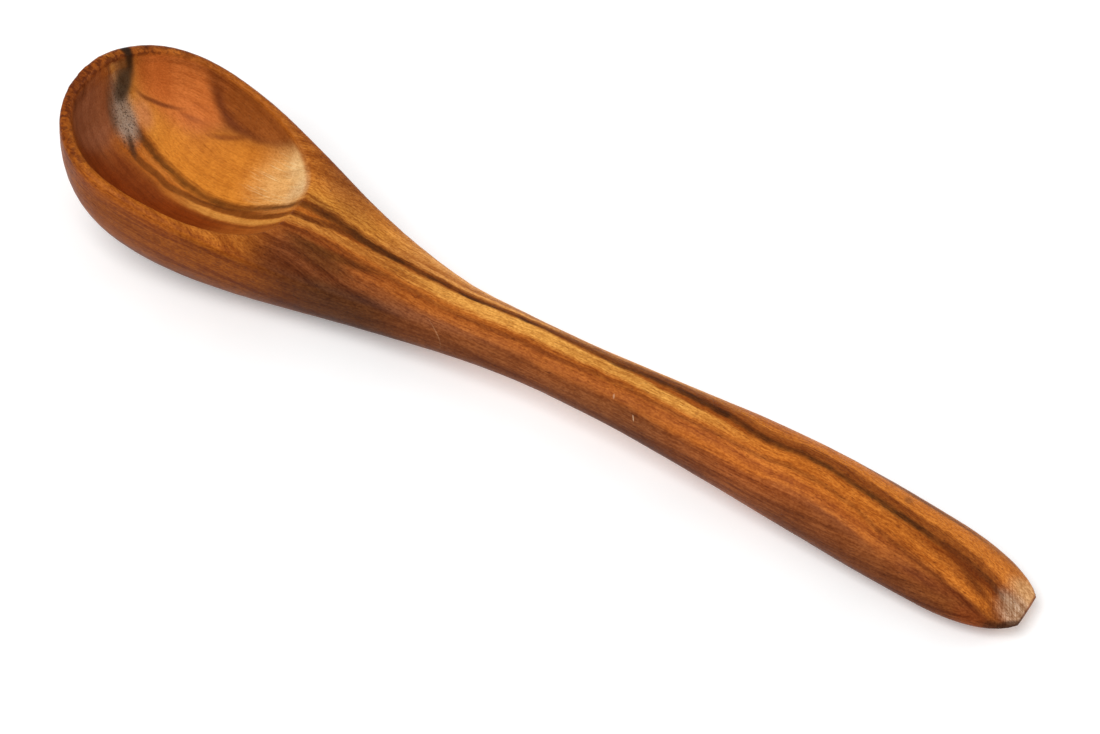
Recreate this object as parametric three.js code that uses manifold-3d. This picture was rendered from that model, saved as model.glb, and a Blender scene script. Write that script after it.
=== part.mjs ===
// A small egg spoon carved from one piece of olive wood: a deep oval bowl, a solid shoulder that
// tapers to a narrow neck, and a handle that swells and then thins to a narrow, square-cut edge.
// Millimetres, +Z up. The spoon lies along X as it rests on a table, with the bowl towards -X
// and the origin on the table under the middle of its length.
import * as THREE from 'three';
import { mergeVertices } from 'three/addons/utils/BufferGeometryUtils.js';
import Module from 'manifold-3d';

// Driving dimensions. AT is a distance along the spoon from the bowl's tip, FROM_END from the handle's
// end. TOP and UNDERSIDE are heights above the table.
const LENGTH = 130;

// Bowl, outside.
const BOWL_WIDTH = 25.8;
const BOWL_WIDEST_AT = 13.1;
const TIP_TOP = 18.2;
const TIP_EDGE = 2.8;
const RIM_AT = 18;
const RIM_TOP = 14.4;
const SOLE_AT = 24;

// Bowl, inside. The hollow runs from the rim at the tip to the heel, where the shoulder starts.
const RIM_WIDTH = 1.4;
const HEEL_AT = 30.4;
const FLOOR_THICKNESS = 5.2;
const EDGE_EASE = 0.3;

// Shoulder, neck and handle. The handle's underside touches the table at its rest, and from there
// rises to meet the top at the end.
const SHOULDER_AT = 39.2;
const SHOULDER_WIDTH = 15.2;
const SHOULDER_TOP = 9.4;
const NECK_AT = 68.2;
const NECK_WIDTH = 7.9;
const NECK_TOP = 9.6;
const NECK_UNDERSIDE = 2.9;
const CREST_FROM_END = 24;
const CREST_TOP = 9.4;
const REST_FROM_END = 13;
const HANDLE_WIDEST_FROM_END = 11.6;
const HANDLE_WIDTH = 12.3;
const END_WIDTH = 5;
const END_TOP = 2.6;
const END_THICKNESS = 0.6;

// Depth of the flats that are sanded where the spoon rests: under the bowl and under the handle.
const SOLE_CUT = 0.15;

// Slopes. The outline falls this much faster at the shoulder than a straight line from bowl to neck.
// Where the top and the underside meet the square cut, they fall and rise this far in each millimetre.
const SHOULDER_PITCH = 1.45;
const END_FALL = 0.46;
const END_RISE = 0.47;

// Roundness: exponents of superellipses, where 2 is an ellipse and more is squarer.
const OUTLINE_ROUNDNESS = 2.2;
const HOLLOW_TIP_ROUNDNESS = 5;
const HOLLOW_HEEL_ROUNDNESS = 3.2;
const FLOOR_ROUNDNESS = 2.2;
const BOWL_UPPER_ROUNDNESS = 5;
const BOWL_LOWER_ROUNDNESS = 2.8;
const HANDLE_ROUNDNESS = 2.15;

// The hollow's wall: 1 is an open ramp, and more is steeper at the edge.
const TIP_WALL_STEEPNESS = 2.4;
const HEEL_WALL_STEEPNESS = 1;

// Where the section is widest, as a share of its height.
const BOWL_WIDEST_HEIGHT = 0.83;
const HANDLE_WIDEST_HEIGHT = 0.5;

// Facets.
const RING_POINTS = 60;
const TIP_STEPS = 14;
const BOWL_STEP = 1.4;
const HANDLE_STEP = 2.9;
const END_STEP = 0.9;
const HOLLOW_SPOKES = 96;
const HOLLOW_RINGS = 12;

const CREST_AT = LENGTH - CREST_FROM_END;
const HANDLE_WIDEST_AT = LENGTH - HANDLE_WIDEST_FROM_END;
const { clamp, lerp, smoothstep } = THREE.MathUtils;

// Curves

// Cubic through knots of [x, value, slope], in order of x.
function cubic(knots, x) {
  let i = 0;
  while (i < knots.length - 2 && x > knots[i + 1][0]) i += 1;
  const [x0, v0, m0] = knots[i];
  const [x1, v1, m1] = knots[i + 1];
  const span = x1 - x0;
  const s = clamp((x - x0) / span, 0, 1);
  const start = (1 + 2 * s) * (1 - s) ** 2 * v0 + s * (1 - s) ** 2 * span * m0;
  const finish = s * s * (3 - 2 * s) * v1 + s * s * (s - 1) * span * m1;
  return start + finish;
}

// Knots for cubic() from points of [x, value]. A knot's slope is that of the parabola through it and its
// neighbours, the first knot's is the first chord's, and the last knot's is given.
function eased(points, lastSlope) {
  const chord = (i) => (points[i + 1][1] - points[i][1]) / (points[i + 1][0] - points[i][0]);
  return points.map(([x, value], i) => {
    if (i === 0) return [x, value, chord(0)];
    if (i === points.length - 1) return [x, value, lastSlope];
    const before = x - points[i - 1][0];
    const after = points[i + 1][0] - x;
    return [x, value, (chord(i - 1) * after + chord(i) * before) / (before + after)];
  });
}

// Quarter of a superellipse: 1 at u = 0, falling to 0 at u = 1.
function quarter(u, roundness) {
  return (1 - clamp(u, 0, 1) ** roundness) ** (1 / roundness);
}

// A cosine or sine, bent so that the two of them trace a superellipse.
function bent(value, roundness) {
  return Math.sign(value) * Math.abs(value) ** (2 / roundness);
}

// The carved outside

const SHOULDER_SLOPE = SHOULDER_PITCH * (NECK_WIDTH - BOWL_WIDTH) / 2 / (NECK_AT - BOWL_WIDEST_AT);
const outlineKnots = [
  [BOWL_WIDEST_AT, BOWL_WIDTH / 2, 0],
  [SHOULDER_AT, SHOULDER_WIDTH / 2, SHOULDER_SLOPE],
  [NECK_AT, NECK_WIDTH / 2, 0],
  [HANDLE_WIDEST_AT, HANDLE_WIDTH / 2, 0],
];
const topKnots = eased([
  [0, TIP_TOP],
  [RIM_AT, RIM_TOP],
  [SHOULDER_AT, SHOULDER_TOP],
  [NECK_AT, NECK_TOP],
  [CREST_AT, CREST_TOP],
  [LENGTH, END_TOP],
], -END_FALL);
const undersideKnots = [
  [SOLE_AT, -SOLE_CUT, 0],
  [NECK_AT, NECK_UNDERSIDE, 0],
  [LENGTH - REST_FROM_END, -SOLE_CUT, 0],
  [LENGTH, END_TOP - END_THICKNESS, END_RISE],
];

// Half the width of the outline, seen from above.
function halfWidth(x) {
  if (x < BOWL_WIDEST_AT) return BOWL_WIDTH / 2 * quarter(1 - x / BOWL_WIDEST_AT, OUTLINE_ROUNDNESS);
  if (x < HANDLE_WIDEST_AT) return cubic(outlineKnots, x);
  // The rounded end would close a little past the square cut, which leaves END_WIDTH there.
  const reach = HANDLE_WIDEST_FROM_END / quarter(END_WIDTH / HANDLE_WIDTH, OUTLINE_ROUNDNESS);
  return HANDLE_WIDTH / 2 * quarter((x - HANDLE_WIDEST_AT) / reach, OUTLINE_ROUNDNESS);
}

function undersideHeight(x) {
  if (x > SOLE_AT) return cubic(undersideKnots, x);
  const rise = TIP_TOP - TIP_EDGE + SOLE_CUT;
  return rise * (1 - quarter(1 - x / SOLE_AT, OUTLINE_ROUNDNESS)) - SOLE_CUT;
}

// The section across the spoon at x: two half superellipses that meet where it is widest. It changes
// from the bowl's shape to the handle's on the way from the heel to the neck.
function section(x) {
  const top = cubic(topKnots, x);
  const underside = undersideHeight(x);
  const toHandle = smoothstep(x, HEEL_AT, (HEEL_AT + 2 * NECK_AT) / 3);
  return {
    half: halfWidth(x),
    top,
    underside,
    middle: lerp(underside, top, lerp(BOWL_WIDEST_HEIGHT, HANDLE_WIDEST_HEIGHT, toHandle)),
    upper: lerp(BOWL_UPPER_ROUNDNESS, HANDLE_ROUNDNESS, toHandle),
    lower: lerp(BOWL_LOWER_ROUNDNESS, HANDLE_ROUNDNESS, toHandle),
  };
}

function sectionRing(x) {
  const { half, top, underside, middle, upper, lower } = section(x);
  const ring = [];
  for (let i = 0; i < RING_POINTS; i += 1) {
    const angle = 2 * Math.PI * i / RING_POINTS;
    const above = i <= RING_POINTS / 2;
    const roundness = above ? upper : lower;
    const reach = above ? top - middle : middle - underside;
    const y = half * bent(Math.cos(angle), roundness);
    const z = middle + reach * bent(Math.sin(angle), roundness);
    ring.push(new THREE.Vector3(x, y, z));
  }
  return ring;
}

// Height of the uncut top face over a point in plan.
function topFace(x, y) {
  const { half, top, middle, upper } = section(x);
  return middle + (top - middle) * quarter(Math.abs(y) / half, upper);
}

// Places of the sections: close together round the tip, even along the bowl, wider along the handle.
function stations() {
  const places = [];
  for (let i = 0; i < TIP_STEPS; i += 1) {
    places.push(BOWL_WIDEST_AT * (1 - Math.cos(Math.PI / 2 * i / TIP_STEPS)));
  }
  const spread = (from, to, step) => {
    const count = Math.ceil((to - from) / step);
    for (let i = 0; i < count; i += 1) places.push(lerp(from, to, i / count));
  };
  spread(BOWL_WIDEST_AT, SHOULDER_AT, BOWL_STEP);
  spread(SHOULDER_AT, HANDLE_WIDEST_AT, HANDLE_STEP);
  spread(HANDLE_WIDEST_AT, LENGTH, END_STEP);
  places.push(LENGTH);
  return places;
}

// Solids

// A closed surface over a list of rings of points, all with the same count. The first ring is folded
// shut, to a point or a line, and the last one gets a flat cap.
function loft(rings) {
  const positions = [];
  const add = (...corners) => corners.forEach((corner) => positions.push(...corner.toArray()));
  const count = rings[0].length;
  for (let k = 0; k < rings.length - 1; k += 1) {
    for (let i = 0; i < count; i += 1) {
      const j = (i + 1) % count;
      add(rings[k][i], rings[k][j], rings[k + 1][j]);
      add(rings[k][i], rings[k + 1][j], rings[k + 1][i]);
    }
  }
  const last = rings[rings.length - 1];
  const centre = last.reduce((sum, point) => sum.add(point), new THREE.Vector3()).divideScalar(count);
  last.forEach((point, i) => add(centre, point, last[(i + 1) % count]));
  const geometry = new THREE.BufferGeometry();
  geometry.setAttribute('position', new THREE.Float32BufferAttribute(positions, 3));
  return geometry;
}

const wasm = await Module();
wasm.setup();

// A closed surface as a solid, without the triangles that a folded ring leaves flat.
function toSolid(geometry) {
  const merged = mergeVertices(geometry);
  const corners = merged.index.array;
  const kept = [];
  for (let i = 0; i < corners.length; i += 3) {
    const triangle = corners.slice(i, i + 3);
    if (new Set(triangle).size === 3) kept.push(...triangle);
  }
  return new wasm.Manifold(new wasm.Mesh({
    numProp: 3,
    vertProperties: new Float32Array(merged.attributes.position.array),
    triVerts: new Uint32Array(kept),
  }));
}

function toGeometry(solid) {
  const mesh = solid.getMesh();
  const geometry = new THREE.BufferGeometry();
  geometry.setAttribute('position', new THREE.BufferAttribute(mesh.vertProperties, 3));
  geometry.setIndex(new THREE.BufferAttribute(mesh.triVerts, 1));
  geometry.computeVertexNormals();
  return geometry;
}

// The blank: outline and side profile of the spoon, before the bowl is gouged out.
function carveBlank() {
  return toSolid(loft(stations().map(sectionRing)));
}

// The hollow's edge in plan, in a direction from the hollow's middle. It keeps RIM_WIDTH inside the
// outline along both sides, and closes across them at the tip and at the heel.
function hollowEdge(angle) {
  const along = Math.cos(angle);
  const across = Math.sin(angle);
  const roundness = along < 0 ? HOLLOW_TIP_ROUNDNESS : HOLLOW_HEEL_ROUNDNESS;
  const reach = (Math.abs(along) ** roundness + Math.abs(across) ** roundness) ** (-1 / roundness);
  const x = lerp(RIM_WIDTH, HEEL_AT, (1 + reach * along) / 2);
  return new THREE.Vector2(x, reach * across * (halfWidth(x) - RIM_WIDTH));
}

// One spoke of the gouge, from the floor's middle to the hollow's edge just under the top face, then
// over a lip that eases the edge at 45 degrees, and up clear of the spoon.
function gougeSpoke(angle) {
  const middle = new THREE.Vector2((RIM_WIDTH + HEEL_AT) / 2, 0);
  const edge = hollowEdge(angle);
  const edgeHeight = topFace(edge.x, edge.y) - EDGE_EASE;
  const outward = edge.clone().sub(middle).normalize();
  const steepness = lerp(TIP_WALL_STEEPNESS, HEEL_WALL_STEEPNESS, (1 + outward.x) / 2);
  const spoke = [];
  for (let k = 0; k <= HOLLOW_RINGS; k += 1) {
    const share = Math.sin(Math.PI / 2 * k / HOLLOW_RINGS);
    const rise = 1 - (1 - share ** FLOOR_ROUNDNESS) ** (1 / steepness);
    const place = middle.clone().lerp(edge, share);
    spoke.push(new THREE.Vector3(place.x, place.y, lerp(FLOOR_THICKNESS, edgeHeight, rise)));
  }
  const lip = 3 * EDGE_EASE;
  const clear = edge.clone().addScaledVector(outward, lip);
  spoke.push(new THREE.Vector3(clear.x, clear.y, edgeHeight + lip));
  spoke.push(new THREE.Vector3(clear.x, clear.y, 2 * TIP_TOP));
  return spoke;
}

// The tool that gouges the bowl: a steep wall at the tip, a gentle ramp at the heel.
function gouge() {
  const spokes = [];
  for (let i = 0; i < HOLLOW_SPOKES; i += 1) spokes.push(gougeSpoke(2 * Math.PI * i / HOLLOW_SPOKES));
  return toSolid(loft(spokes[0].map((point, k) => spokes.map((spoke) => spoke[k]))));
}

// Everything below the table, which sands off the two flats that the spoon rests on.
function belowTable() {
  const depth = 10;
  const slab = new THREE.BoxGeometry(2 * LENGTH, 2 * BOWL_WIDTH, depth);
  slab.translate(LENGTH / 2, 0, -depth / 2);
  slab.deleteAttribute('normal');
  slab.deleteAttribute('uv');
  return toSolid(slab);
}

const oliveWood = new THREE.MeshStandardMaterial({ color: 0xa8632a, roughness: 0.45, metalness: 0 });

function makeSpoon() {
  const solid = carveBlank().subtract(gouge()).subtract(belowTable());
  const mesh = new THREE.Mesh(toGeometry(solid), oliveWood);
  mesh.name = 'egg_spoon';
  mesh.position.x = -LENGTH / 2;
  return mesh;
}

const spoon = new THREE.Group();
spoon.add(makeSpoon());

export default spoon;
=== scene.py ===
import math
import bpy
from mathutils import Matrix, Vector


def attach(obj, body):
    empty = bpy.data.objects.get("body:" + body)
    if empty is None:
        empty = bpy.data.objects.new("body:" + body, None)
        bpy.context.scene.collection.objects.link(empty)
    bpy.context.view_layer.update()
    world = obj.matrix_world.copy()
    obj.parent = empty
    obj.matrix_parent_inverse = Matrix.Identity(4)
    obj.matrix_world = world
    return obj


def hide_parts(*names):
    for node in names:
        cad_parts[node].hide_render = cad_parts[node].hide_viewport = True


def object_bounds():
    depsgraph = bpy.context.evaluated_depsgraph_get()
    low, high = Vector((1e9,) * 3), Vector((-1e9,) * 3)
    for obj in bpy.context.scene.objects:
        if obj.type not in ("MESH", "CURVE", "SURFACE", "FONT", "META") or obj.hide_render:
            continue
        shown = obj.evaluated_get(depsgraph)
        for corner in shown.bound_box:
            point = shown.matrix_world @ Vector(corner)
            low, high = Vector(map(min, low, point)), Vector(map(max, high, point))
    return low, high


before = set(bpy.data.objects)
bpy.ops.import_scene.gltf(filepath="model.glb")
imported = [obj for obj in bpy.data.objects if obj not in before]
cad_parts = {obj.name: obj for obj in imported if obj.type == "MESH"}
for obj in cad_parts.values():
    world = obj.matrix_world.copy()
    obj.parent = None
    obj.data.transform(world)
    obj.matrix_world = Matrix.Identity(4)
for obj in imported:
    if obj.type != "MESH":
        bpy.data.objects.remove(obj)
cad_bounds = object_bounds()

# An oiled olive-wood egg spoon on a plain white ground, lit softly and seen from the side and above.
# Sizes are in metres. The wood's pattern is in millimetres: along from the bowl's tip, across and up.

MM = 0.001
LENGTH = cad_bounds[1][0] - cad_bounds[0][0]

# Skin: the spoon's length fills this share of a grid that is halved this many times
SKIN_DEPTH = 9
SKIN_FILL = 0.86
MERGE_DISTANCE = 1e-6

# Sanding, and the size and depth of the unevenness that hand work leaves
SANDING_ROUNDS = 7
SANDING_SHARE = 0.5
UNEVEN_SIZE = 0.007
UNEVEN_DEPTH = 0.00012

# Camera: degrees, metres, and millimetres of lens and sensor
AZIMUTH = 27.0
ELEVATION = 48.13
ROLL = 4.703
DISTANCE = 0.45
LENS = 124.66
SENSOR = 36
CLIP_START = 0.01
AIM_HEIGHT = 0.006
AIM_RIGHT = 0.001425
AIM_UP = -0.001329

# Studio: the ground lies just under the spoon's lowest point, and a light has a place, a size and watts
GROUND_SIZE = 3
GROUND_LEVEL = -0.00005
GROUND_GLOW = 0.18
ROOM_STRENGTH = 0.5
WHITE = (1, 1, 1, 1)
LIGHTS = (
    ("front", (-0.1, -0.36, 0.65), 0.5, 3.6),
    ("left window", (-0.55, 0.42, 0.12), 0.2, 0.5),
    ("right window", (0.42, 0.42, 0.28), 0.2, 0.5),
)

# Oiled surface: how much it mirrors, its roughness and how much that varies, and the relief of its fibres
MIRROR = 0.06
ROUGHNESS = 0.32
ROUGHNESS_SPREAD = 0.2
RELIEF_STRENGTH = 0.5
RELIEF_DEPTH = 0.00005

# Grain: how much a millimetre of height counts beside one across, in the distance from a grain line
HEIGHT_SHARE = 0.4

# Ranges that hold all the values of a curve
SIDE_RANGE = (-6.0, 6.0)
HEIGHT_RANGE = (0.0, 20.0)
WIDTH_RANGE = (0.0, 2.0)

# The dark line on the spoon's upper side: along from the tip, across, height
DARK_LINE = (
    (0, 3.2, 12), (6.8, 2.65, 7.6), (9.2, 2.1, 6.3), (13.3, 1.3, 5.4), (17.6, 0.6, 5.4),
    (21.6, 0.4, 6.0), (26, 1.0, 7.8), (31, 1.5, 11.2), (36, 2.1, 9.9), (41, 1.6, 9.2),
    (45.4, 1.48, 8.9), (51, 1.25, 8.9), (56.3, 1.16, 9.0), (60.5, 1.25, 9.2), (65, 1.3, 9.4),
    (70.3, 1.3, 9.5), (75.4, 1.0, 9.7), (80.8, 1.2, 9.9), (84.5, 1.0, 10.1), (91, 0.4, 10.3),
    (95.6, -0.13, 10.2), (100.6, 0.4, 9.9), (105, 0.4, 9.4), (111.6, 0.2, 8.3), (116, 0.0, 7.3),
    (121, 0.0, 5.9), (124, -0.2, 5.0), (126.5, -0.8, 4.1), (130, -1.6, 2.6),
)

# Its half width, the width of its soft edge and its strength, by the place along
DARK_HALF_WIDTH = (
    (0, 0.2), (8, 0.15), (20, 0.2), (30, 0.2), (36, 0.32), (42, 0.25), (46, 0.15), (52, 0.05),
    (70, 0.03), (80, 0.18), (93, 0.25), (105, 0.12), (113, 0.2), (120, 0.22), (126, 0.15), (130, 0.1),
)
DARK_SOFT = ((0, 0.55), (38, 0.5), (46, 0.3), (54, 0.25), (72, 0.25), (82, 0.5), (130, 0.5))
DARK_STRENGTH = (
    (0, 0.0), (5, 0.2), (7, 0.7), (16, 0.65), (30, 0.7), (38, 0.85), (56, 0.85), (66, 0.75), (71, 0.5),
    (77, 0.6), (84, 0.9), (98, 0.95), (104, 0.85), (116, 0.95), (124, 0.85), (127, 0.5), (130, 0.2),
)

# The brown shade on its far side
SHADE_WIDTH = (
    (0, 0.8), (36, 0.9), (45, 0.65), (54, 0.6), (62, 0.6), (69, 1.0), (80, 1.4), (92, 1.6),
    (118, 1.6), (126, 1.2), (130, 0.8),
)
SHADE_STRENGTH = (
    (0, 0.5), (30, 0.65), (44, 0.75), (56, 0.85), (70, 0.8), (80, 0.75), (92, 0.95), (130, 0.9),
)

# The second, thinner dark line in the bowl
SECOND_LINE = (
    (0, 0.8, 12), (6.3, 0.6, 8.0), (8, 0.25, 6.9), (10, 0.15, 6.0), (12.4, -0.3, 5.5),
    (16, -0.3, 5.3), (19.5, -0.35, 5.5), (24.6, -0.5, 7.0), (29.5, -0.5, 10.2), (31, -0.3, 11),
    (34.4, 0.8, 10.2), (37.5, 1.5, 9.5), (42, 1.8, 9.2), (60, 2.0, 9.2), (130, 2.0, 9.0),
)

# The honey band on the near side of the dark line, and the strength of the orange beside it
HONEY_BAND = (
    (0, -0.5, 12), (14.7, -1.05, 5.3), (18.7, -1.35, 5.5), (22.5, -1.45, 6.2), (27.8, -1.65, 9.0),
    (31.4, -1.0, 11), (35.7, 0.1, 9.9), (40.4, 0.5, 9.3), (46, 0.3, 8.9), (60, 0.2, 9.2),
    (67, 0.2, 9.5), (76, 0.0, 9.9), (82, -0.5, 10.1), (91, -1.0, 10.3), (95, -1.2, 10.2),
    (99, -0.6, 9.9), (104, -0.6, 9.5), (107, -0.8, 9.0), (113, -1.8, 7.7), (117.5, -2.4, 6.7),
    (121, -2.8, 5.7), (124.6, -3.1, 4.5), (126, -3.2, 3.9), (130, -3.5, 2.4),
)
HONEY_HALF_WIDTH = (
    (0, 0.1), (14, 0.15), (30, 0.15), (45, 0.3), (60, 0.5), (76, 0.3), (84, 0.2), (93, 0.12),
    (105, 0.15), (115, 0.22), (121, 0.12), (126, 0.05), (130, 0.05),
)
HONEY_STRENGTH = (
    (0, 0.0), (11, 0.05), (17, 0.5), (22, 0.7), (28, 0.75), (33, 0.4), (43, 0.45), (52, 0.9), (60, 1.0),
    (80, 1.0), (88, 0.8), (95, 0.6), (104, 0.55), (112, 0.6), (120, 0.9), (125, 0.9), (126.8, 0.2),
    (130, 0.0),
)
ORANGE_STRENGTH = (
    (0, 0.0), (40, 0.0), (50, 0.3), (62, 0.35), (80, 0.5), (90, 0.85), (100, 1.0), (108, 0.9),
    (113, 0.5), (119, 0.15), (126, 0.05), (130, 0.0),
)

# Height of the rim, and of its level carried on over the handle, by the place along
RIM_LINE = (
    (0, 18.2), (6, 17.0), (12, 15.7), (18, 14.4), (24, 12.9), (30, 11.3), (36, 9.8), (40, 9.4), (130, 9.4),
)

# Spots: place along and across, half length, half width, turn in degrees, softness
HOLLOW_SPOTS = ((16.0, 0.0, 14.9, 11.6, 0, 0.05), (10.5, 0.0, 9.4, 11.3, 0, 0.05))
LENS_SPOT = (20.5, 11.4, 8.6, 2.5, -2, 0.35)
# Where the heel's painted sheen lies, in which the scratches show pale
HEEL_SHEEN_SPOT = (25.6, 4.8, 3.8, 2.8, -8, 0.7)
SPECK_SPOT = (4.5, 2.4, 3.4, 1.6, -42, 0.6)
RIPPLE_SPOT = (128.0, -1.6, 2.6, 2.8, 20, 0.8)

# Stains, and some painted sheen and shadow: a spot, its strength and its colour
FLOOR_STAINS_AND_SHEEN = (
    (18.5, 4.6, 13.0, 4.4, 0, 0.4, 0.95, (230, 145, 50)),
    (9.0, 9.6, 6.0, 3.2, 12, 0.5, 0.9, (232, 136, 66)),
    # The next three, pale on the ramp and edge of the heel: painted sheen over the heel's paler wood
    (27.2, 5.2, 5.8, 4.4, -8, 0.85, 0.95, (252, 196, 122)),
    (29.4, 5.4, 1.9, 3.6, -20, 0.8, 1.0, (255, 216, 160)),
    (27.2, 7.0, 2.6, 1.6, -35, 0.8, 0.9, (255, 214, 152)),
    (5.0, 8.0, 2.6, 1.8, 35, 0.7, 0.7, (222, 122, 54)),
    (5.4, 4.8, 1.6, 1.3, -20, 0.8, 0.7, (224, 148, 100)),
    (16.0, -5.4, 13.5, 3.8, 0, 0.45, 0.92, (140, 60, 16)),
    (26.5, -4.0, 5.0, 2.6, 20, 0.9, 0.8, (190, 108, 42)),
    (9.5, -2.4, 4.6, 1.9, -8, 0.5, 0.8, (142, 68, 26)),
    (10.2, 1.1, 4.0, 0.4, -10, 0.7, 0.85, (222, 140, 60)),
    (22.0, 0.1, 8.0, 0.25, 2, 0.7, 0.6, (124, 66, 26)),
    (28.5, 0.35, 2.6, 0.25, 4, 0.8, 0.7, (226, 156, 78)),
    (6.2, 6.9, 3.2, 0.22, 27, 0.9, 0.8, (124, 62, 32)),
    (15.4, 8.2, 2.6, 0.3, 13, 0.9, 0.7, (146, 74, 30)),
    (10.2, 8.1, 2.4, 0.25, 8, 0.9, 0.45, (156, 80, 36)),
)
TIP_STAINS_AND_SHEEN = (
    (2.4, -1.7, 2.4, 5.4, 0, 0.6, 0.85, (168, 106, 72)),
    (1.5, 5.2, 0.9, 1.8, 0, 0.6, 0.8, (150, 92, 60)),
    # Pale blue-grey on the tip's dark streak: painted sheen over it
    (4.2, 2.75, 2.7, 1.6, -38, 0.7, 1.0, (184, 164, 146)),
    (3.1, 1.7, 2.0, 0.7, -42, 0.9, 0.6, (112, 88, 70)),
    (6.3, 1.0, 1.7, 0.45, -40, 0.9, 0.85, (84, 56, 38)),
    (2.75, 4.6, 1.9, 0.75, 86, 0.7, 0.95, (84, 70, 54)),
)
RIM_STAINS = (
    (2.2, 6.1, 1.2, 0.7, -12, 0.6, 0.95, (50, 36, 24)),
)
SHOULDER_STAINS = (
    (33.4, 2.7, 3.4, 1.0, -10, 0.9, 0.6, (134, 76, 32)),
    (36.5, -3.9, 5.2, 1.6, -3, 0.8, 0.75, (102, 58, 24)),
    (38.6, -2.4, 6.0, 0.8, 9, 0.8, 0.7, (98, 56, 20)),
    (40.5, -7.3, 9.5, 1.7, 13, 0.8, 0.75, (84, 50, 24)),
    (58.0, -4.0, 16.0, 1.5, 2, 0.8, 0.3, (112, 70, 44)),
    (77.0, -4.2, 9.0, 1.2, 0, 0.8, 0.4, (104, 70, 48)),
    (96.0, -4.4, 7.0, 0.9, 0, 0.8, 0.45, (196, 112, 56)),
    (33.0, -7.6, 5.0, 1.6, 8, 0.8, 0.5, (116, 58, 26)),
    (34.5, 6.5, 5.5, 2.6, -30, 0.8, 0.5, (150, 86, 42)),
)
PALE_MARKS = (
    (53.3, -4.3, 1.4, 0.05, -26, 0.9, 0.6, (196, 150, 112)),
    (76.8, -3.0, 0.25, 0.12, -60, 0.6, 0.9, (236, 206, 176)),
    (80.0, -3.95, 0.25, 0.06, -40, 0.6, 0.8, (236, 206, 176)),
)
HANDLE_STAINS_SHEEN_AND_SHADOW = (
    (122.0, -0.5, 5.0, 1.0, -6, 0.8, 0.75, (136, 68, 22)),
    (120.5, -4.6, 6.0, 0.6, 7, 0.7, 0.6, (132, 64, 26)),
    (123.6, -1.6, 2.6, 0.5, -14, 0.8, 0.7, (124, 64, 22)),
    (125.2, -4.9, 2.6, 0.7, 12, 0.7, 0.7, (150, 76, 34)),
    (112.6, 2.9, 0.6, 0.7, 0, 0.9, 0.6, (130, 74, 38)),
    (114.0, 4.5, 11.0, 0.5, 0, 0.9, 0.7, (110, 62, 30)),
    # The next two, grey-tan and orange-tan where the end rounds over: painted sheen
    (129.2, -1.0, 2.5, 2.6, 20, 0.8, 0.95, (240, 210, 184)),
    (129.2, 2.0, 2.6, 1.8, 0, 0.8, 0.9, (254, 204, 146)),
    # The next two, dark along the end's low near edge: painted shadow under it
    (128.0, -4.3, 1.8, 0.6, 20, 0.7, 0.8, (76, 44, 26)),
    (129.0, -3.2, 1.8, 0.35, 49, 0.7, 0.8, (70, 42, 26)),
)

# Colours across the growth layers: millimetres from first to last, where the dark line is, and the colours
LAYER_SPREAD = 20
DARK_AT = 0.6
LAYER_TONES = (
    (0.0, (154, 84, 22)), (0.12, (120, 66, 32)), (0.24, (138, 77, 40)), (0.325, (164, 94, 47)),
    (0.4, (180, 102, 43)), (0.475, (190, 109, 40)), (0.55, (200, 116, 42)), (0.61, (190, 112, 42)),
    (0.695, (246, 172, 74)), (0.825, (228, 148, 64)), (1.0, (156, 90, 42)),
)


def tone(red, green, blue):
    """A display colour, 0 to 255, as the linear colour that nodes take."""
    def linear(level):
        share = level / 255
        return share / 12.92 if share <= 0.04045 else ((share + 0.055) / 1.055) ** 2.4
    return (linear(red), linear(green), linear(blue), 1.0)


# Colours that are laid over the growth layers
NECK_FAR_TONE = tone(255, 184, 104)
HANDLE_FAR_TONE = tone(228, 136, 52)
# Darker low on the near flank: painted shade, partly the wood's own brown
LOW_FLANK_BROWN_AND_SHADE_TONE = tone(92, 50, 18)
LENS_TONE = tone(164, 92, 38)
LENS_EDGE_TONE = tone(112, 54, 28)
ORANGE_TONE = tone(216, 126, 46)
NECK_HONEY_TONE = tone(248, 180, 88)
HANDLE_HONEY_TONE = tone(228, 138, 52)
HONEY_EDGE_TONE = tone(126, 66, 26)
NECK_SHADE_TONE = tone(134, 75, 26)
HANDLE_SHADE_TONE = tone(158, 86, 30)
DARK_LINE_TONE = tone(78, 43, 16)
SECOND_LINE_TONE = tone(106, 58, 22)
NEAR_WALL_TONE = tone(196, 112, 40)
TIP_RIM_TONE = tone(160, 84, 26)
RIM_TONE = tone(196, 112, 32)
FLECK_TONE = tone(112, 52, 20)
# Paler along the rim's top edge: painted highlight
CREST_HIGHLIGHT_TONE = tone(222, 142, 62)
# The end face's near half: painted shade
END_NEAR_SHADE_TONE = tone(72, 44, 30)
END_FAR_TONE = tone(176, 104, 66)
# Scratches in the heel's sheen: painted highlight
SCRATCH_SHEEN_TONE = tone(255, 226, 168)
SPECK_TONE = tone(58, 40, 28)

# Tints that darken the colour under them
RIPPLE_TINT = tone(214, 200, 186)
STREAK_TINT = tone(206, 186, 166)
FIBRE_TINT = tone(218, 204, 188)
CURL_TINT = tone(244, 240, 234)
GRIT_TINT = tone(230, 218, 204)
PORE_TINT = tone(146, 114, 94)

# The ground's two whites
GROUND_TONE = tone(244, 244, 244)
GROUND_BRIGHT_TONE = tone(250, 250, 250)


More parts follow.
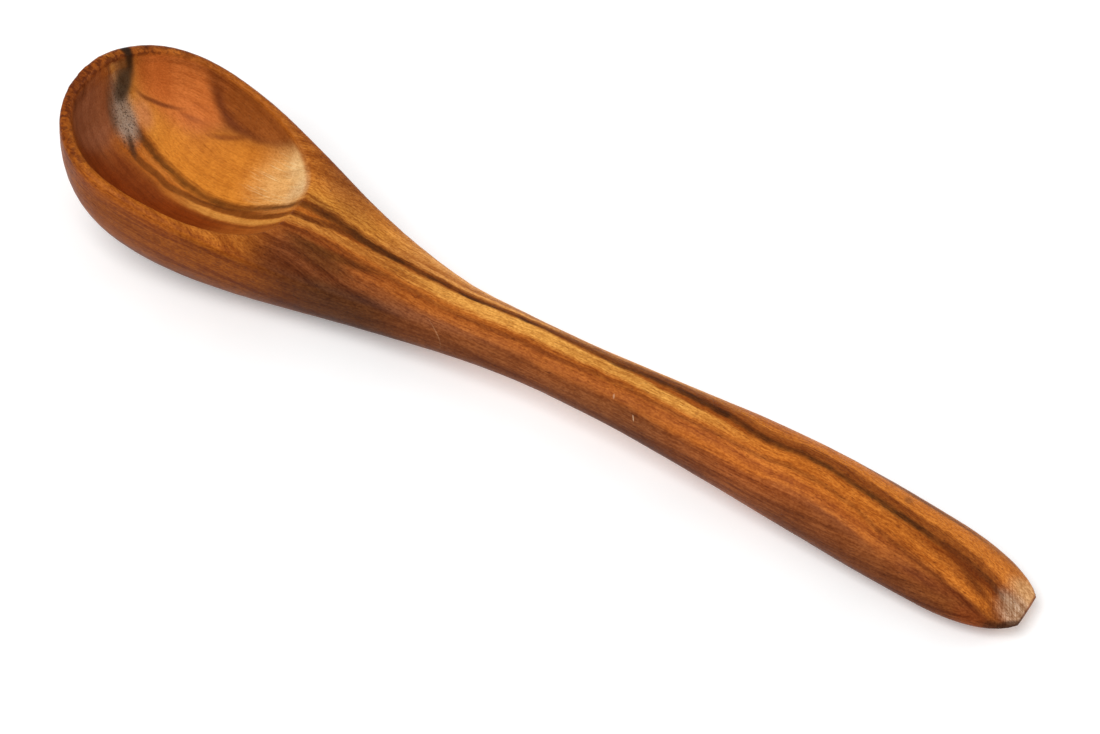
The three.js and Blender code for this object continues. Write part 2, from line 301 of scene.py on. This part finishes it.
class Nodes:
    """Adds nodes to one tree. Values may be numbers or sockets, and what is worked out is a socket."""

    def __init__(self, tree):
        self.tree = tree

    def add(self, kind, **settings):
        node = self.tree.nodes.new(kind)
        for name, setting in settings.items():
            setattr(node, name, setting)
        return node

    def feed(self, slot, value):
        if isinstance(value, bpy.types.NodeSocket):
            self.tree.links.new(value, slot)
        else:
            slot.default_value = value

    def feed_all(self, slots, values):
        for slot, value in zip(slots, values):
            self.feed(slot, value)

    def calc(self, operation, *values):
        node = self.add("ShaderNodeMath", operation=operation)
        self.feed_all(node.inputs, values)
        return node.outputs[0]

    def plus(self, first, *others):
        for other in others:
            first = self.calc("ADD", first, other)
        return first

    def minus(self, first, second):
        return self.calc("SUBTRACT", first, second)

    def times(self, first, *others):
        for other in others:
            first = self.calc("MULTIPLY", first, other)
        return first

    def times_plus(self, value, factor, added):
        return self.calc("MULTIPLY_ADD", value, factor, added)

    def between(self, share, first, second):
        """A number that goes from first to second as share goes from 0 to 1."""
        return self.times_plus(share, self.minus(second, first), first)

    def ramp(self, value, low, high):
        """0 at low and 1 at high, with a soft change between; low may be the greater."""
        node = self.add("ShaderNodeMapRange", interpolation_type="SMOOTHSTEP")
        for name, setting in (("Value", value), ("From Min", low), ("From Max", high)):
            self.feed(node.inputs[name], setting)
        return node.outputs[0]

    def window(self, value, start, full, fading, end):
        """0 up to start, 1 from full to fading, and 0 from end on."""
        return self.times(self.ramp(value, start, full), self.ramp(value, end, fading))

    def band(self, value, half, soft):
        """1 where value is within half of zero, falling to 0 over soft on both sides."""
        return self.ramp(self.calc("ABSOLUTE", value), self.plus(half, soft), half)

    def off_middle(self, value, amount):
        """A value around one half, as a swing around zero."""
        return self.times(self.minus(value, 0.5), amount)

    def blend(self, share, under, over, mode="MIX"):
        """Two colours mixed. Of the mix node's sockets, 6, 7 and 2 are those for colours."""
        node = self.add("ShaderNodeMix", data_type="RGBA", blend_type=mode)
        self.feed(node.inputs[0], share)
        self.feed(node.inputs[6], under)
        self.feed(node.inputs[7], over)
        return node.outputs[2]

    def lay(self, color, over, *masks, mode="MIX"):
        """A colour with another laid over it, as strong as all the masks together."""
        return self.blend(self.times(*masks), color, over, mode)

    def split(self, value):
        node = self.add("ShaderNodeSeparateXYZ")
        self.feed(node.inputs[0], value)
        return tuple(node.outputs)

    def vector(self, x, y, z):
        node = self.add("ShaderNodeCombineXYZ")
        self.feed_all(node.inputs, (x, y, z))
        return node.outputs[0]

    def noise(self, place, detail, roughness=0.5, scale=1.0):
        node = self.add("ShaderNodeTexNoise")
        settings = (("Vector", place), ("Scale", scale), ("Detail", detail), ("Roughness", roughness))
        for name, setting in settings:
            self.feed(node.inputs[name], setting)
        return node.outputs[0]

    def curve(self, along, points, low, high):
        """A smooth line through points of millimetres along and a value, which is between low and high."""
        node = self.add("ShaderNodeFloatCurve")
        line = node.mapping.curves[0]
        places = [(at / (LENGTH / MM), (value - low) / (high - low)) for at, value in points]
        line.points[0].location = places[0]
        line.points[1].location = places[-1]
        for x, y in places[1:-1]:
            line.points.new(x, y)
        node.mapping.update()
        node.inputs["Factor"].default_value = 1.0
        self.feed(node.inputs["Value"], self.calc("DIVIDE", along, LENGTH / MM))
        return self.times_plus(node.outputs[0], high - low, low)

    def color_ramp(self, value, stops):
        node = self.add("ShaderNodeValToRGB")
        places = node.color_ramp.elements
        ends = ((places[0], stops[0]), (places[1], stops[-1]))
        for place, (position, levels) in ends:
            place.position = position
            place.color = tone(*levels)
        for position, levels in stops[1:-1]:
            places.new(position).color = tone(*levels)
        self.feed(node.inputs[0], value)
        return node.outputs[0]

    def spot(self, along, across, at, side, half_length, half_width, turn, soft):
        node = self.add("ShaderNodeGroup", node_tree=spot_group)
        settings = (along, across, at, side, half_length, half_width, math.radians(turn), soft)
        self.feed_all(node.inputs, settings)
        return node.outputs["Mask"]


def make_spot_group():
    """A soft spot: an ellipse in plan, turned, with a soft edge."""
    group = bpy.data.node_groups.new("soft spot", "ShaderNodeTree")
    for name in ("Along", "Across", "At", "Side", "Half Length", "Half Width", "Turn", "Soft"):
        group.interface.new_socket(name, in_out="INPUT", socket_type="NodeSocketFloat")
    group.interface.new_socket("Mask", in_out="OUTPUT", socket_type="NodeSocketFloat")
    nodes = Nodes(group)
    given = nodes.add("NodeGroupInput").outputs
    x = nodes.minus(given["Along"], given["At"])
    y = nodes.minus(given["Across"], given["Side"])
    cosine = nodes.calc("COSINE", given["Turn"])
    sine = nodes.calc("SINE", given["Turn"])
    u = nodes.plus(nodes.times(x, cosine), nodes.times(y, sine))
    v = nodes.minus(nodes.times(y, cosine), nodes.times(x, sine))
    u = nodes.calc("DIVIDE", u, given["Half Length"])
    v = nodes.calc("DIVIDE", v, given["Half Width"])
    reach = nodes.calc("SQRT", nodes.plus(nodes.times(u, u), nodes.times(v, v)))
    outer = nodes.plus(1.0, given["Soft"])
    inner = nodes.minus(1.0, given["Soft"])
    result = nodes.add("NodeGroupOutput")
    nodes.feed(result.inputs["Mask"], nodes.ramp(reach, outer, inner))
    return group


class OliveWood(Nodes):
    """The spoon's wood: where the surface lies in the grain, and colours laid one over the other."""

    def __init__(self, tree):
        super().__init__(tree)
        self.find_place()
        self.find_lines()
        self.find_hollow()
        self.find_grain()

    # Places in the wood

    def find_place(self):
        """Millimetres along from the tip, across and up, and which way the surface faces."""
        coordinates = self.add("ShaderNodeTexCoord").outputs
        from_tip = self.add("ShaderNodeVectorMath", operation="MULTIPLY_ADD")
        scales = (1 / MM, 1 / MM, 1 / MM)
        tip_to_middle = (LENGTH / 2 / MM, 0, 0)
        self.feed_all(from_tip.inputs, (coordinates["Object"], scales, tip_to_middle))
        self.place = from_tip.outputs[0]
        self.along, self.across, self.height = self.split(self.place)
        self.facing_end, self.facing_side, self.facing_up = self.split(coordinates["Normal"])

    def find_lines(self):
        """Distances from the grain's lines, which waver."""
        waver = self.noise(self.stretched((0.12, 0.1, 0.1)), detail=3)
        shiver = self.noise(self.stretched((0.5, 0.2, 0.2)), detail=2)
        swing = self.plus(self.off_middle(waver, 0.6), self.off_middle(shiver, 0.4))
        self.wavering = self.plus(self.across, swing)
        self.spread_across = self.plus(self.across, self.off_middle(waver, 0.8))
        self.from_dark = self.distance_from(DARK_LINE)
        self.from_second = self.distance_from(SECOND_LINE)
        self.from_honey = self.distance_from(HONEY_BAND)

    def find_hollow(self):
        """Height over the rim's line, and the hollow: inside the rim in plan, under it and facing up."""
        spots = [self.spot(self.along, self.across, *spot) for spot in HOLLOW_SPOTS]
        inside = self.calc("MAXIMUM", *spots)
        self.over_rim = self.minus(self.height, self.along_spoon(RIM_LINE, *HEIGHT_RANGE))
        under = self.ramp(self.over_rim, 0.0, -0.3)
        self.hollow = self.times(inside, self.ramp(self.facing_up, 0.0, 0.1), under)

    def find_grain(self):
        """Streaks, fibres and pores that run along the spoon."""
        self.sideways = self.ramp(self.calc("ABSOLUTE", self.facing_side), 0.5, 0.85)
        self.streaks = self.grain((0.03, 0.9, 0.2), detail=4, roughness=0.65)
        self.fibres = self.grain((0.3, 5.0, 3.5), detail=3, roughness=0.6)
        self.pores = self.ramp(self.grain((1.0, 9.0, 7.0), detail=1), 0.62, 0.74)

    def stretched(self, scales, places=None):
        """A place for noise: along, across and height, or the places given, each times its scale."""
        places = places or (self.along, self.across, self.height)
        return self.vector(*(self.times(place, scale) for place, scale in zip(places, scales)))

    def along_spoon(self, points, low=0.0, high=1.0):
        return self.curve(self.along, points, low, high)

    def distance_from(self, points):
        """Millimetres across from a grain line, less than zero on its near side, with height counted in."""
        line_side = self.along_spoon([(at, side) for at, side, up in points], *SIDE_RANGE)
        line_height = self.along_spoon([(at, up) for at, side, up in points], *HEIGHT_RANGE)
        away = self.minus(self.wavering, line_side)
        climb = self.calc("ABSOLUTE", self.minus(self.height, line_height))
        which_side = self.calc("MAXIMUM", self.calc("MINIMUM", self.times(away, 0.7), 1.0), -1.0)
        return self.plus(away, self.times(climb, which_side, HEIGHT_SHARE))

    def grain(self, scales, detail, roughness=0.5):
        """Noise drawn out along the spoon, which follows the dark line on top and the rim on the sides."""
        top = self.stretched(scales, (self.along, self.from_dark, self.height))
        flank = self.stretched(scales, (self.along, self.over_rim, self.across))
        on_top = self.noise(top, detail, roughness)
        on_flank = self.noise(flank, detail, roughness)
        return self.between(self.sideways, on_top, on_flank)

    def feathered(self, mask, amount):
        """A mask with its edge drawn out along the fibres."""
        return self.ramp(self.plus(mask, self.off_middle(self.fibres, amount)), 0.05, 0.95)

    def lay_spots(self, color, spot_table, where=1.0):
        for *spot, strength, spot_levels in spot_table:
            mask = self.spot(self.along, self.spread_across, *spot)
            color = self.lay(color, tone(*spot_levels), self.feathered(mask, 0.4), mask, strength, where)
        return color

    # Layers of colour, in the order in which they are laid

    def color(self):
        color = self.growth_layers()
        layers = (
            self.far_side, self.flanks, self.floor, self.lens, self.honey_band, self.dark_line,
            self.second_line, self.tip_mark, self.rim, self.handle_end, self.scratches, self.specks,
            self.ripples, self.fine_grain,
        )
        for layer in layers:
            color = layer(color)
        return color

    def growth_layers(self):
        """Brown on the near side, orange and honey on the far side."""
        side = self.plus(self.from_dark, self.off_middle(self.streaks, 4.0))
        return self.color_ramp(self.times_plus(side, 1 / LAYER_SPREAD, DARK_AT), LAYER_TONES)

    def far_side(self, color):
        """The neck and the handle, on the far side of the dark line."""
        neck = self.window(self.along, 38, 50, 70, 82)
        beside_neck_line = self.window(self.from_dark, 0.5, 1.1, 5.0, 8.0)
        color = self.lay(color, NECK_FAR_TONE, neck, beside_neck_line, 0.9)
        handle = self.ramp(self.along, 82, 96)
        beside_handle_line = self.window(self.from_dark, 0.2, 1.0, 3.5, 6.0)
        return self.lay(color, HANDLE_FAR_TONE, handle, beside_handle_line, 0.85)

    def flanks(self, color):
        """Stains from shoulder to handle, pale nicks on the neck, and painted shade on the near flank low
        down, partly darker brown wood there.
        """
        color = self.lay_spots(color, SHOULDER_STAINS)
        color = self.lay_spots(color, PALE_MARKS, self.ramp(self.facing_up, -0.3, 0.0))
        # Painted shade: the near flank darkened towards the ground, over the wood's own darker brown
        low = self.ramp(self.height, 9.0, 3.5)
        near = self.ramp(self.across, -1.5, -4.5)
        return self.lay(color, LOW_FLANK_BROWN_AND_SHADE_TONE, low, near, 0.4)

    def floor(self, color):
        # Stains in the hollow, with painted sheen on the heel
        return self.lay_spots(color, FLOOR_STAINS_AND_SHEEN, self.hollow)

    def lens(self, color):
        """A brown lens on the hollow's far wall, with a darker edge towards the tip."""
        lens = self.feathered(self.spot(self.along, self.spread_across, *LENS_SPOT), 0.3)
        color = self.lay(color, LENS_TONE, lens, self.hollow, 0.9)
        edge = self.times(lens, self.minus(1.0, lens))
        return self.lay(color, LENS_EDGE_TONE, edge, self.ramp(self.along, 26, 14), self.hollow, 3.2)

    def honey_band(self, color):
        """The honey band, with orange and a thin brown edge on its near side."""
        half = self.along_spoon(HONEY_HALF_WIDTH, *WIDTH_RANGE)
        orange = self.feathered(self.band(self.plus(self.from_honey, 1.7), 1.1, 1.8), 0.8)
        color = self.lay(color, ORANGE_TONE, orange, self.along_spoon(ORANGE_STRENGTH))
        far = self.ramp(self.from_honey, self.times_plus(half, 1.6, 0.7), self.times(half, 0.6))
        near = self.ramp(self.from_honey, self.times_plus(half, -1.6, -1.2), 0.0)
        honey = self.feathered(self.times(far, near), 0.6)
        honey_tone = self.blend(self.ramp(self.along, 84, 98), NECK_HONEY_TONE, HANDLE_HONEY_TONE)
        color = self.lay(color, honey_tone, honey, self.along_spoon(HONEY_STRENGTH))
        from_edge = self.plus(self.from_honey, self.times_plus(half, 2.0, 1.1))
        edge = self.feathered(self.band(from_edge, 0.05, 0.5), 0.9)
        return self.lay(color, HONEY_EDGE_TONE, edge, self.ramp(self.along, 12, 20), 0.4)

    def dark_line(self, color):
        """The dark line, ragged and broken, over the brown shade on its far side."""
        jag = self.plus(self.off_middle(self.fibres, 0.8), self.off_middle(self.streaks, 0.6))
        ragged = self.plus(self.from_dark, jag)
        color = self.brown_shade(color, ragged)
        line = self.band(ragged, self.along_spoon(DARK_HALF_WIDTH), self.along_spoon(DARK_SOFT))
        strength = self.along_spoon(DARK_STRENGTH)
        threads = self.times_plus(self.ramp(self.fibres, 0.4, 0.55), 0.25, 0.75)
        pulse = self.noise(self.stretched((0.3, 0.05, 0.05)), detail=2)
        breaks = self.times_plus(self.ramp(pulse, 0.35, 0.55), 0.45, 0.55)
        return self.lay(color, DARK_LINE_TONE, line, strength, threads, breaks)

    def brown_shade(self, color, ragged):
        width = self.along_spoon(SHADE_WIDTH, *WIDTH_RANGE)
        far = self.ramp(ragged, self.plus(width, 0.4), self.minus(width, 0.4))
        near = self.ramp(ragged, -0.3, 0.1)
        shade_tone = self.blend(self.ramp(self.along, 78, 92), NECK_SHADE_TONE, HANDLE_SHADE_TONE)
        return self.lay(color, shade_tone, far, near, self.along_spoon(SHADE_STRENGTH))

    def second_line(self, color):
        line = self.feathered(self.band(self.from_second, 0.2, 0.6), 0.9)
        return self.lay(color, SECOND_LINE_TONE, line, self.window(self.along, 4, 8, 36, 42), 0.65)

    def tip_mark(self, color):
        # The tip's dark streak, with a painted sheen over part of it
        return self.lay_spots(color, TIP_STAINS_AND_SHEEN, self.hollow)

    def rim(self, color):
        """The rim and the near wall under it, with flecks and a dark mark at the tip, and a painted
        highlight along the rim's top edge.
        """
        wall = self.times(self.ramp(self.over_rim, -4.0, -1.0), self.ramp(self.across, -11.5, -12.3))
        color = self.lay(color, NEAR_WALL_TONE, wall, self.ramp(self.along, 30, 22), 0.6)
        rim = self.times(self.ramp(self.over_rim, -1.3, -0.5), self.ramp(self.along, 33, 27))
        rim_tone = self.blend(self.ramp(self.along, 2, 10), TIP_RIM_TONE, RIM_TONE)
        color = self.lay(color, rim_tone, rim, 0.75)
        flecks = self.ramp(self.noise(self.stretched((1.7, 1.7, 1.7)), detail=3), 0.45, 0.58)
        color = self.lay(color, FLECK_TONE, flecks, rim, self.ramp(self.along, 14, 4), 0.8)
        # Painted highlight: the rim's rounded top edge, paler where it catches the light
        crest_highlight = self.ramp(self.over_rim, -0.6, -0.25)
        color = self.lay(color, CREST_HIGHLIGHT_TONE, crest_highlight, self.window(self.along, 2, 8, 26, 31), 0.45)
        return self.lay_spots(color, RIM_STAINS, self.ramp(self.over_rim, -6.0, -1.5))

    def handle_end(self, color):
        """Stains near the handle's end, some of them painted sheen and painted shadow, and the end's own
        small face, with painted shade on its near half.
        """
        color = self.lay_spots(color, HANDLE_STAINS_SHEEN_AND_SHADOW)
        face = self.times(self.ramp(self.facing_end, 0.45, 0.75), self.ramp(self.along, 127.0, 128.5))
        # The face's near half is darkened as painted shade; its far half is the end grain's reddish brown
        end_grain_and_shade_tone = self.blend(self.ramp(self.across, -3.0, 1.0), END_NEAR_SHADE_TONE, END_FAR_TONE)
        return self.lay(color, end_grain_and_shade_tone, face, 0.8)

    def scratches(self, color):
        """Fine scratches on the hollow's ramp to the heel, a little askew, painted pale as a highlight in
        the heel's sheen.
        """
        askew = self.times_plus(self.along, 0.21, self.across)
        lines = self.noise(self.stretched((0.2, 5.0, 0.0), (self.along, askew, self.height)), detail=2)
        heel_sheen = self.spot(self.along, self.across, *HEEL_SHEEN_SPOT)
        return self.lay(color, SCRATCH_SHEEN_TONE, self.ramp(lines, 0.55, 0.68), heel_sheen, self.hollow, 0.75)

    def specks(self, color):
        """Dark specks in the tip's mark."""
        specks = self.ramp(self.noise(self.stretched((3.0, 5.5, 5.5)), detail=2), 0.52, 0.64)
        where = self.spot(self.along, self.across, *SPECK_SPOT)
        return self.lay(color, SPECK_TONE, specks, where, self.hollow, 0.7)

    def ripples(self, color):
        """Fine ripples of end grain near the handle's end."""
        askew = self.times_plus(self.across, 0.5, self.along)
        place = self.stretched((5.0, 0.4, 0.4), (askew, self.across, self.height))
        ripples = self.ramp(self.noise(place, detail=2), 0.6, 0.4)
        where = self.spot(self.along, self.across, *RIPPLE_SPOT)
        return self.lay(color, RIPPLE_TINT, ripples, where, mode="MULTIPLY")

    def fine_grain(self, color):
        """Streaks, fibres, grit and pores, all fainter in the smooth hollow, and a faint curl."""
        rough = self.times_plus(self.hollow, -0.5, 1.0)
        askew = self.plus(self.across, self.along)
        curl = self.noise(self.stretched((0.7, 0.25, 0.25), (self.along, askew, self.height)), detail=3)
        grit = self.noise(self.stretched((2.5, 5.0, 5.0)), detail=2)
        tints = (
            (STREAK_TINT, self.ramp(self.streaks, 0.6, 0.3), rough),
            (FIBRE_TINT, self.ramp(self.fibres, 0.6, 0.3), rough),
            (CURL_TINT, self.ramp(curl, 0.6, 0.35)),
            (GRIT_TINT, self.ramp(grit, 0.6, 0.4), rough),
            (PORE_TINT, self.pores, rough, 0.55),
        )
        for tint, *masks in tints:
            color = self.lay(color, tint, *masks, mode="MULTIPLY")
        return color

    # Surface

    def roughness(self):
        sheen = self.noise(self.place, detail=3, scale=0.4)
        return self.times_plus(sheen, ROUGHNESS_SPREAD, ROUGHNESS)

    def relief(self):
        """Raised fibres and sunk pores, as the way the surface faces."""
        bump = self.add("ShaderNodeBump")
        bump.inputs["Strength"].default_value = RELIEF_STRENGTH
        bump.inputs["Distance"].default_value = RELIEF_DEPTH
        self.feed(bump.inputs["Height"], self.minus(self.fibres, self.pores))
        return bump.outputs[0]


def new_material(name):
    material = bpy.data.materials.new(name)
    material.use_nodes = True
    return material, material.node_tree.nodes["Principled BSDF"]


def make_olive_wood():
    material, shader = new_material("olive wood")
    wood = OliveWood(material.node_tree)
    wood.feed(shader.inputs["Base Color"], wood.color())
    wood.feed(shader.inputs["Roughness"], wood.roughness())
    wood.feed(shader.inputs["Normal"], wood.relief())
    shader.inputs["Specular IOR Level"].default_value = MIRROR
    return material


def make_ground():
    material, shader = new_material("white ground")
    nodes = Nodes(material.node_tree)
    place = nodes.add("ShaderNodeTexCoord").outputs["Object"]
    mottle = nodes.ramp(nodes.noise(place, detail=3, scale=40.0), 0.3, 0.7)
    nodes.feed(shader.inputs["Base Color"], nodes.blend(mottle, GROUND_TONE, GROUND_BRIGHT_TONE))
    shader.inputs["Roughness"].default_value = 0.9
    shader.inputs["Specular IOR Level"].default_value = 0.0
    shader.inputs["Emission Color"].default_value = WHITE
    shader.inputs["Emission Strength"].default_value = GROUND_GLOW
    return material


def copy_solid():
    """A copy of the plain solid, selected, with its doubled points merged."""
    bpy.ops.object.select_all(action="DESELECT")
    spoon = bpy.data.objects.new("spoon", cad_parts["egg_spoon"].data.copy())
    bpy.context.scene.collection.objects.link(spoon)
    bpy.context.view_layer.objects.active = spoon
    spoon.select_set(True)
    bpy.ops.object.mode_set(mode="EDIT")
    bpy.ops.mesh.select_all(action="SELECT")
    bpy.ops.mesh.remove_doubles(threshold=MERGE_DISTANCE)
    bpy.ops.object.mode_set(mode="OBJECT")
    return spoon


def work(piece, name, kind, **settings):
    """Applies one modifier to a piece."""
    modifier = piece.modifiers.new(name, kind)
    for setting, value in settings.items():
        setattr(modifier, setting, value)
    bpy.ops.object.modifier_apply(modifier=modifier.name)


def make_spoon():
    """The carved spoon: the plain solid's shape as an even skin, sanded round and left a little uneven."""
    spoon = copy_solid()
    work(spoon, "even skin", "REMESH", mode="SHARP", octree_depth=SKIN_DEPTH, scale=SKIN_FILL,
         use_remove_disconnected=False)
    work(spoon, "sanding", "SMOOTH", factor=SANDING_SHARE, iterations=SANDING_ROUNDS)
    lumps = bpy.data.textures.new("unevenness", "CLOUDS")
    lumps.noise_scale = UNEVEN_SIZE
    work(spoon, "hand work", "DISPLACE", texture=lumps, texture_coords="LOCAL", mid_level=0.5,
         strength=UNEVEN_DEPTH)
    bpy.ops.object.shade_smooth()
    spoon.data.materials.clear()
    spoon.data.materials.append(make_olive_wood())
    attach(spoon, "root")
    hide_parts("egg_spoon")


def make_camera():
    azimuth, elevation, roll = (math.radians(angle) for angle in (AZIMUTH, ELEVATION, ROLL))
    flat = math.cos(elevation)
    back = Vector((math.sin(azimuth) * flat, -math.cos(azimuth) * flat, math.sin(elevation)))
    level = Vector((math.cos(azimuth), math.sin(azimuth), 0))
    upright = back.cross(level)
    right = level * math.cos(roll) + upright * math.sin(roll)
    up = upright * math.cos(roll) - level * math.sin(roll)
    data = bpy.data.cameras.new("camera")
    data.sensor_width = SENSOR
    data.lens = LENS
    data.clip_start = CLIP_START
    camera = bpy.data.objects.new("camera", data)
    camera.matrix_world = Matrix((right, up, back)).transposed().to_4x4()
    camera.location = Vector((0, 0, AIM_HEIGHT)) + right * AIM_RIGHT + up * AIM_UP + back * DISTANCE
    bpy.context.scene.collection.objects.link(camera)
    bpy.context.scene.camera = camera


def add_light(name, location, size, power):
    """A square light that faces the middle of the spoon."""
    data = bpy.data.lights.new(name, "AREA")
    data.energy = power
    data.size = size
    light = bpy.data.objects.new(name, data)
    light.location = location
    light.rotation_euler = (-Vector(location)).to_track_quat("-Z", "Y").to_euler()
    bpy.context.scene.collection.objects.link(light)


def make_studio():
    bpy.ops.mesh.primitive_plane_add(size=GROUND_SIZE, location=(0, 0, GROUND_LEVEL))
    ground = bpy.context.object
    ground.name = "ground"
    ground.data.materials.append(make_ground())
    world = bpy.data.worlds.new("soft white room")
    bpy.context.scene.world = world
    world.use_nodes = True
    backdrop = world.node_tree.nodes["Background"]
    backdrop.inputs["Color"].default_value = WHITE
    backdrop.inputs["Strength"].default_value = ROOM_STRENGTH
    for light in LIGHTS:
        add_light(*light)
    bpy.context.scene.view_settings.view_transform = "Standard"


spot_group = make_spot_group()
make_spoon()
make_camera()
make_studio()
